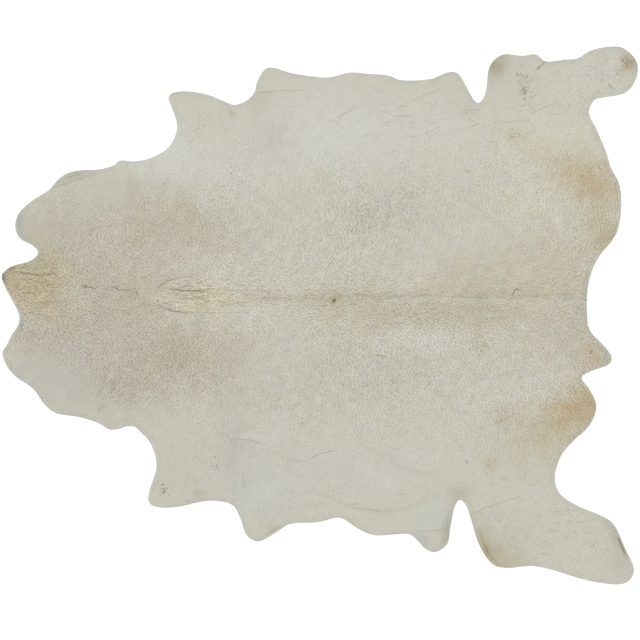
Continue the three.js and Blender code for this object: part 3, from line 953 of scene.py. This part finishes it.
def coat_grain_group():
    """Fine grain and soft patches for hair and suede: a tint that varies, a height and a roughness."""
    group = bpy.data.node_groups.new("coat_grain", "ShaderNodeTree")
    for name, way, kind in (
        ("Tint", "INPUT", "Color"), ("Grain Scale", "INPUT", "Float"), ("Patch Scale", "INPUT", "Float"),
        ("Contrast", "INPUT", "Float"), ("Color", "OUTPUT", "Color"), ("Height", "OUTPUT", "Float"),
        ("Roughness", "OUTPUT", "Float"),
    ):
        group.interface.new_socket(name, in_out=way, socket_type="NodeSocket" + kind)
    given = add_node(group, "NodeGroupInput")
    result = add_node(group, "NodeGroupOutput")
    place = add_node(group, "ShaderNodeTexCoord")
    grain = add_node(group, "ShaderNodeTexNoise", Detail=3.0, Roughness=0.6)
    patch = add_node(group, "ShaderNodeTexNoise", Detail=2.0, Roughness=0.5)
    blend = add_node(group, "ShaderNodeMath", "ADD")
    middle = add_node(group, "ShaderNodeMath", "SUBTRACT")
    middle.inputs[1].default_value = 1.0
    amount = add_node(group, "ShaderNodeMath", "MULTIPLY_ADD")
    amount.inputs[2].default_value = 1.0
    tone = add_node(group, "ShaderNodeVectorMath", "SCALE")
    gloss = add_node(group, "ShaderNodeMapRange", To_Min=ROUGH_LEAST, To_Max=ROUGH_MOST)
    for output, socket in (
        (place.outputs["Object"], grain.inputs["Vector"]),
        (given.outputs["Grain Scale"], grain.inputs["Scale"]),
        (place.outputs["Object"], patch.inputs["Vector"]),
        (given.outputs["Patch Scale"], patch.inputs["Scale"]),
        (grain.outputs["Fac"], blend.inputs[0]),
        (patch.outputs["Fac"], blend.inputs[1]),
        (blend.outputs[0], middle.inputs[0]),
        (middle.outputs[0], amount.inputs[0]),
        (given.outputs["Contrast"], amount.inputs[1]),
        (given.outputs["Tint"], tone.inputs[0]),
        (amount.outputs[0], tone.inputs["Scale"]),
        (tone.outputs[0], result.inputs["Color"]),
        (grain.outputs["Fac"], result.inputs["Height"]),
        (grain.outputs["Fac"], gloss.inputs["Value"]),
        (gloss.outputs["Result"], result.inputs["Roughness"]),
    ):
        group.links.new(output, socket)
    return group


def principled(name, **sockets):
    """A new material with some of its shader's inputs set, its node tree and its shader."""
    material = bpy.data.materials.new(name)
    material.use_nodes = True
    shader = material.node_tree.nodes["Principled BSDF"]
    set_sockets(shader, sockets)
    return material, material.node_tree, shader


def coat_material(name, grain, patch, contrast, relief, tint=None, **sockets):
    """A material of the coat's grain, over the painted colour or one tint."""
    material, tree, shader = principled(name, **sockets)
    group = tree.nodes.new("ShaderNodeGroup")
    group.node_tree = bpy.data.node_groups.get("coat_grain") or coat_grain_group()
    set_sockets(group, {"Grain Scale": grain, "Patch Scale": patch, "Contrast": contrast})
    if tint is None:
        painted = tree.nodes.new("ShaderNodeAttribute")
        painted.attribute_name = COAT_COLOUR
        tree.links.new(painted.outputs["Color"], group.inputs["Tint"])
    else:
        group.inputs["Tint"].default_value = (*tint, 1)
    bump = add_node(tree, "ShaderNodeBump", Strength=BUMP_STRENGTH, Distance=relief)
    tree.links.new(group.outputs["Color"], shader.inputs["Base Color"])
    tree.links.new(group.outputs["Roughness"], shader.inputs["Roughness"])
    tree.links.new(group.outputs["Height"], bump.inputs["Height"])
    tree.links.new(bump.outputs["Normal"], shader.inputs["Normal"])
    return material


def hair_material():
    """Hair: the coat's colour with a slight gloss along it."""
    return coat_material(
        "cowhide_hair", grain=900, patch=45, contrast=0.05, relief=0.0002,
        Specular_IOR_Level=0.25, Sheen_Weight=0.10, Sheen_Roughness=0.45,
    )


def skin_material():
    """The hair side of the skin, seen only between the hairs."""
    return coat_material(
        "cowhide_hair_side", grain=420, patch=40, contrast=0.06, relief=0.0003, Specular_IOR_Level=0.15
    )


def suede_material(colours):
    """The napped flesh side and the cut edge."""
    return coat_material(
        "cowhide_flesh_side", grain=650, patch=14, contrast=0.30, relief=0.0004, tint=colours.suede,
        Specular_IOR_Level=0.10, Sheen_Weight=0.15,
    )


def floor_material(stage):
    """A plain pale matt floor."""
    return principled(
        "studio_floor", Base_Color=(*stage.floor, 1), Roughness=0.8, Specular_IOR_Level=0.0
    )[0]


# Operators

FLOOR_GAP = 0.0003
VIEW_REACH = 200
KEY_TILT = math.radians(22)
KEY_TURN = math.radians(-100)
SMOOTH_BELOW = math.radians(40)
FINE_SPREAD = 1.8
FINE_SHARE = 0.1
TOP_MARGIN = 0.6
UNDER_MARGIN = 0.4
SKIN_SHADE = 0.94


class COWHIDE_OT_stage(bpy.types.Operator):
    """Set up the camera, the pale floor and soft studio light"""

    bl_idname = "cowhide.stage"
    bl_label = "Set up stage"

    def execute(self, context):
        stage = context.scene.cowhide.stage
        self.add_camera(context, stage)
        self.add_floor(context, stage)
        self.add_light(context, stage)
        return {"FINISHED"}

    def add_camera(self, context, stage):
        """A camera straight above the hide, at the distance that gives the frame its width."""
        data = bpy.data.cameras.new("camera")
        data.lens = stage.lens
        data.clip_end = VIEW_REACH
        camera = bpy.data.objects.new("camera", data)
        height = stage.frame_width * stage.lens / data.sensor_width
        camera.location = (stage.view_x, stage.view_y, CAD_HIGH.z / 2 + height)
        context.scene.collection.objects.link(camera)
        context.scene.camera = camera

    def add_floor(self, context, stage):
        """A wide level floor."""
        bpy.ops.object.select_all(action="DESELECT")
        bpy.ops.mesh.primitive_plane_add(size=stage.floor_size, location=(0, 0, CAD_LOW.z - FLOOR_GAP))
        floor = context.object
        floor.name = "floor"
        floor.data.materials.append(floor_material(stage))

    def add_light(self, context, stage):
        """Even light from all round, and one soft main light that brings out the hair."""
        world = bpy.data.worlds.new("studio")
        world.use_nodes = True
        set_sockets(world.node_tree.nodes["Background"], {"Color": (1, 1, 1, 1), "Strength": stage.sky})
        context.scene.world = world
        data = bpy.data.lights.new("key", "SUN")
        data.energy = stage.key
        data.angle = stage.key_spread
        key = bpy.data.objects.new("key", data)
        key.rotation_euler = (KEY_TILT, 0, KEY_TURN)
        context.scene.collection.objects.link(key)
        context.scene.view_settings.view_transform = "Standard"


class COWHIDE_OT_skin(bpy.types.Operator):
    """Lay the tanned skin over the solid, with its creases and cut edge"""

    bl_idname = "cowhide.skin"
    bl_label = "Lay skin"

    def execute(self, context):
        rug = context.scene.cowhide
        form = hide_form()
        upper, upper_faces = fill_outline(form.rim, self.inner_places(form, rug.skin))
        under, under_faces = fill_outline(form.rim, self.under_places(form, rug.skin))
        corners = len(form.rim)
        if not (np.allclose(upper[:corners], form.rim) and np.allclose(under[:corners], form.rim)):
            raise RuntimeError("the outline's places were changed while the skin was filled")
        tops = form.skin_top(upper, rug.skin, rug.hair)
        places = np.vstack([np.column_stack([upper, tops]), np.column_stack([under, np.zeros(len(under))])])
        edge = self.edge_faces(form.rim, len(upper))
        triangles = np.vstack([upper_faces, under_faces[:, ::-1] + len(upper), edge])
        mesh = triangle_mesh("hide_skin", places, triangles)
        finish = np.ones(len(triangles), np.int32)
        finish[: len(upper_faces)] = 0
        mesh.polygons.foreach_set("material_index", finish)
        mesh.materials.append(skin_material())
        mesh.materials.append(suede_material(rug.colours))
        # The hair side is painted a little darker than the coat: painted shade between the hairs.
        paint(mesh, SKIN_SHADE * coat_colour(places[:, :2], form, rug.colours, SKIN_LINES))
        unwrap_from_above(mesh, places, triangles)
        piece = link_piece(mesh)
        bpy.ops.object.select_all(action="DESELECT")
        piece.select_set(True)
        context.view_layer.objects.active = piece
        bpy.ops.object.shade_smooth_by_angle(angle=SMOOTH_BELOW)
        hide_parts("hide")
        return {"FINISHED"}

    def inner_places(self, form, skin):
        """A fine grid beside the creases, and a wider one on the open skin."""
        grids = []
        for step, on_crease in ((skin.crease_step, True), (skin.mesh_step, False)):
            places = hex_places(form.low, form.high, step)
            creased = np.zeros(len(places), bool)
            for _, found, share in line_shares(NARROW_LINES, places, FINE_SPREAD):
                creased[found] |= share > FINE_SHARE
            grids.append(places[(creased == on_crease) & (form.distance_in(places) > TOP_MARGIN * step)])
        return np.vstack(grids)

    def under_places(self, form, skin):
        """A wide grid on the flat flesh side."""
        places = hex_places(form.low, form.high, skin.under_step)
        return places[form.distance_in(places) > UNDER_MARGIN * skin.under_step]

    def edge_faces(self, rim, upper_count):
        """The wall of the cut edge between the hair side and the flesh side."""
        here = np.arange(len(rim))
        following = np.roll(here, -1)
        if doubled_area(rim) < 0:
            here, following = following, here
        low_here, low_following = here + upper_count, following + upper_count
        return np.vstack([
            np.column_stack([low_here, low_following, following]),
            np.column_stack([low_here, following, here]),
        ])


BANDS = ("coat_neck", "coat_shoulder", "coat_flank", "coat_loin", "coat_rump")
TUFT_FACES = np.array([[1, 3, 0], [2, 3, 1], [0, 3, 2], [0, 2, 1]])
Hairs = namedtuple("Hairs", "root way length width lift")
HAIR_SEED = 7
ROOT_DEPTH = 0.0004
ROOT_INSIDE = 0.0012
ROOT_JITTER = 0.45
LENGTH_SPREAD = (0.7, 1.25)
WIDTH_SPREAD = (0.75, 1.3)
LIFT_MIDDLE, LIFT_STREAK, LIFT_SPREAD = 0.55, 0.10, 0.18
LIFT_LEAST, LIFT_MOST = 0.1, 1.1
BELLY_RIDGE, BACK_RIDGE = 0.12, 0.20
LEAST_KEPT = 0.15
LEAST_DROP = 1e-6
PARTED, PARTED_SPREAD, PARTED_DEPTH = 0.8, 1.6, 0.0012
LINE_HAIR_MOST = 0.0030
LINE_HAIR_WIDTH, LINE_HAIR_REACH = 1.5, 1.4
WEAK_LINE_LIFT, STRONG_LINE_LIFT = 0.3, 1.0
ROOT_SHADE, TIP_SHADE = 0.94, 1.03
BELLY_TONE, BACK_TONE = 0.006, 0.046
STREAK_TONE, LEAST_STREAK = 0.045, 0.4
DARK_HAIRS, DARK_TONE = 0.022, 0.62
WARMTH = np.array([0.006, 0, -0.016])
FLANK_STREAK, FLANK_STRETCH = 0.0065, (1, 4)
SPINE_STREAK, SPINE_STRETCH, SPINE_STRENGTH = 0.0060, (5, 1), 1.5

# Where the streaks show: x, y, along and across of a soft oval.
FLANK_OVAL = (0.10, BACK_Y, 0.42, 0.50)
SPINE_OVAL = (0.15, BACK_Y - 0.005, 0.75, 0.045)


class COWHIDE_OT_hair(bpy.types.Operator):
    """Grow the short coat: many small tapered tufts that lie along the hide"""

    bl_idname = "cowhide.hair"
    bl_label = "Grow hair"

    def execute(self, context):
        rug = context.scene.cowhide
        form = hide_form()
        draw = np.random.default_rng(HAIR_SEED)
        parts = zip(self.coat_hairs(form, rug.hair, draw), self.line_hairs(form))
        hairs = Hairs(*(np.concatenate(both) for both in parts))
        tufts, shades = self.tufts(form, hairs, rug, draw)
        material = hair_material()
        order = np.argsort(hairs.root[:, 0], kind="stable")
        for name, band in zip(BANDS, np.array_split(order, len(BANDS))):
            places = tufts[band].reshape(-1, 3)
            triangles = (4 * np.arange(len(band))[:, None, None] + TUFT_FACES).reshape(-1, 3)
            mesh = triangle_mesh(name, places, triangles)
            mesh.materials.append(material)
            paint(mesh, shades[band].reshape(-1, 3))
            unwrap_from_above(mesh, places, triangles)
            link_piece(mesh)
        form.area()
        return {"FINISHED"}

    def root_places(self, form, hair, draw):
        """Where the tufts stand: an even grid, each place moved a little."""
        spacing = hair.spacing * 1
        roots = hex_places(form.low, form.high, spacing)
        roots += draw.uniform(-ROOT_JITTER, ROOT_JITTER, roots.shape) * spacing
        return roots[form.distance_in(roots) > ROOT_INSIDE]

    def coat_hairs(self, form, hair, draw):
        """The coat's own tufts, which lie as the coat does and are short in the creases."""
        root = self.root_places(form, hair, draw)
        count = len(root)
        coarse = back_share(root)
        turn, kept = coat_curl(root)
        heading = coat_heading(root) + turn * draw.normal(0, 1, count)
        length = kept * between(hair.belly_length, hair.back_length, coarse)
        length *= draw.uniform(*LENGTH_SPREAD, count)
        for crease, found, share in line_shares(CREASES, root, PARTED_SPREAD):
            if crease.depth > 0:
                length[found] *= 1 - PARTED * min(1, crease.depth / PARTED_DEPTH) * share
        width = between(hair.belly_width, hair.back_width, coarse) * draw.uniform(*WIDTH_SPREAD, count)
        lift = LIFT_MIDDLE + LIFT_STREAK * self.streaks(root) + draw.normal(0, LIFT_SPREAD, count)
        way = np.stack([np.cos(heading), np.sin(heading)], axis=1)
        return Hairs(root, way, length, width, np.clip(lift, LIFT_LEAST, LIFT_MOST))

    def line_hairs(self, form):
        """Tufts that lie along each narrow crease and fine mark, so that it stays crisp in the coat."""
        roots, runs, widths, lifts = [], [], [], []
        for line in HAIR_LINES:
            if line.half > LINE_HAIR_MOST:
                continue
            path = soft_line(line.line)
            count = len(path) - 1
            roots.append(path[:-1])
            runs.append(np.diff(path, axis=0))
            widths.append(np.full(count, LINE_HAIR_WIDTH * line.half))
            lifts.append(np.full(count, between(WEAK_LINE_LIFT, STRONG_LINE_LIFT, min(1, line.share))))
        root, run = np.vstack(roots), np.vstack(runs)
        step = np.hypot(run[:, 0], run[:, 1])
        way = run / step[:, None]
        hairs = Hairs(root, way, LINE_HAIR_REACH * step, np.concatenate(widths), np.concatenate(lifts))
        inside = form.distance_in(root) > ROOT_INSIDE
        return Hairs(*(part[inside] for part in hairs))

    def tufts(self, form, hairs, rug, draw):
        """Four corners of each tuft, two at the sides of its root, one on its ridge and one at its tip."""
        hair = rug.hair
        root, way = hairs.root, hairs.way
        coarse = back_share(root)
        length = hairs.length * self.kept_inside(form, root, root + way * hairs.length[:, None], hair)
        tip = root + way * length[:, None]
        side = 0.5 * hairs.width[:, None] * np.stack([-way[:, 1], way[:, 0]], axis=1)
        ground = form.skin_top(root, rug.skin, hair)
        ridge = between(BELLY_RIDGE, BACK_RIDGE, coarse) * hairs.width
        pile = between(hair.belly_pile, hair.back_pile, coarse) * hairs.lift
        corners = np.empty((len(root), 4, 3))
        for corner, (flat, height) in enumerate((
            (root + side, ground - ROOT_DEPTH), (root, ground + ridge), (root - side, ground - ROOT_DEPTH),
            (tip, form.skin_top(tip, rug.skin, hair) + pile),
        )):
            corners[:, corner, :2] = flat
            corners[:, corner, 2] = height
        return corners, self.shades(form, root, tip, coarse, rug.colours, draw)

    def streaks(self, places):
        """Fine clumps of the coat, drawn out down the flanks and along the back."""
        flank = oval_share(places, *FLANK_OVAL)
        spine = oval_share(places, *SPINE_OVAL)
        down = flank * wave_noise(places, FLANK_STREAK, seed=71, stretch=FLANK_STRETCH)
        along = SPINE_STRENGTH * wave_noise(places, SPINE_STREAK, seed=72, stretch=SPINE_STRETCH)
        return between(down, along, spine)

    def kept_inside(self, form, roots, tips, hair):
        """Share of its length that a tuft keeps, so that it doesn't reach far past the cut edge."""
        root_in, tip_in = form.distance_in(roots), form.distance_in(tips)
        drop = np.maximum(root_in - tip_in, LEAST_DROP)
        kept = np.clip((root_in + hair.overhang) / drop, LEAST_KEPT, 1)
        return np.where(tip_in < -hair.overhang, kept, 1)

    def shades(self, form, roots, tips, coarse, colours, draw):
        """Colour at each corner of each tuft."""
        count = len(roots)
        tone = 1 + between(BELLY_TONE, BACK_TONE, coarse) * draw.normal(0, 1, count)
        tone += STREAK_TONE * np.maximum(coarse, LEAST_STREAK) * self.streaks(roots)
        tone[draw.uniform(0, 1, count) < DARK_HAIRS * coarse] *= DARK_TONE
        warmth = 1 + WARMTH * draw.normal(0, 1, count)[:, None]
        root = coat_colour(roots, form, colours, HAIR_LINES) * tone[:, None] * warmth
        tip = coat_colour(tips, form, colours, HAIR_LINES) * tone[:, None] * warmth
        shades = np.empty((count, 4, 3))
        # Painted shade at the root of each tuft, where the hairs shade it, and a little painted light at
        # its tip.
        shades[:, :3] = ROOT_SHADE * root[:, None]
        shades[:, 3] = TIP_SHADE * tip
        return shades


class COWHIDE_PT_panel(bpy.types.Panel):
    """Steps that build the rug"""

    bl_idname = "COWHIDE_PT_panel"
    bl_label = "Cowhide rug"
    bl_space_type = "VIEW_3D"
    bl_region_type = "UI"
    bl_category = "Cowhide"

    def draw(self, context):
        for operator in OPERATORS:
            self.layout.operator(operator.bl_idname)
        rug = context.scene.cowhide
        for group in (rug.skin, rug.hair, rug.colours, rug.stage):
            box = self.layout.box()
            for name in group.__annotations__:
                box.prop(group, name)


GROUPS = (COWHIDE_PG_skin, COWHIDE_PG_hair, COWHIDE_PG_colours, COWHIDE_PG_stage, COWHIDE_PG_settings)
OPERATORS = (COWHIDE_OT_stage, COWHIDE_OT_skin, COWHIDE_OT_hair)
CLASSES = (*GROUPS, *OPERATORS, COWHIDE_PT_panel)


def register():
    for item in CLASSES:
        bpy.utils.register_class(item)
    bpy.types.Scene.cowhide = bpy.props.PointerProperty(type=COWHIDE_PG_settings)


def unregister():
    del bpy.types.Scene.cowhide
    for item in reversed(CLASSES):
        bpy.utils.unregister_class(item)


def main():
    register()
    bpy.ops.cowhide.stage()
    bpy.ops.cowhide.skin()
    bpy.ops.cowhide.hair()


if __name__ == "__main__":
    main()
